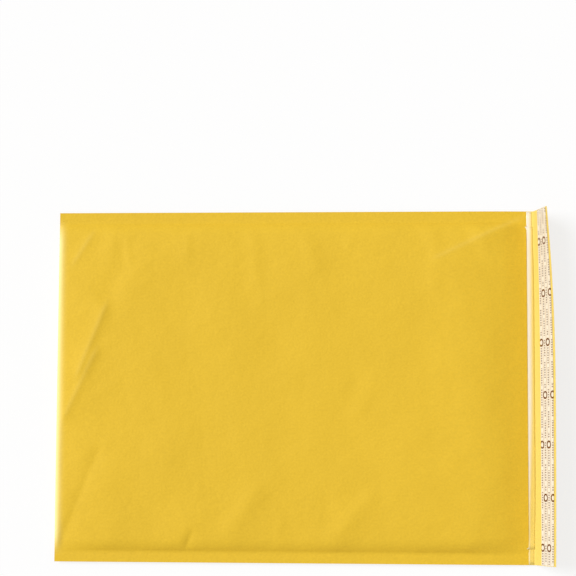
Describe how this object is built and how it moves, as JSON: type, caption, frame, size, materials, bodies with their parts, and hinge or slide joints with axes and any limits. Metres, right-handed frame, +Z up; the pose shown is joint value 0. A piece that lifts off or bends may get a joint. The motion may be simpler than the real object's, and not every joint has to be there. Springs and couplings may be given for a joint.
{
  "type": "padded envelope",
  "caption": "Padded kraft envelope lying on its back: swollen pocket with sealed sides, bubble film lining and a standing flap with a release liner over its glue.",
  "frame": {"origin": "middle of the back panel, on the face it rests on", "axes": "+X from the folded end towards the mouth and flap, +Y along the mouth, +Z up from the back panel to the front panel"},
  "size_m": [0.4951, 0.35, 0.0418],
  "materials": {
    "kraft_paper": "gold-dyed machine-glazed kraft, matt with a faint sheen",
    "bubble_film": "translucent white polyethylene",
    "hot_melt_glue": "tacky pale amber",
    "silicone_paper": null
  },
  "bodies": {
    "root": {"kraft_envelope": "kraft_paper", "bubble_lining": "bubble_film", "adhesive_strip": "hot_melt_glue", "release_liner": "silicone_paper"}
  },
  "joints": []
}
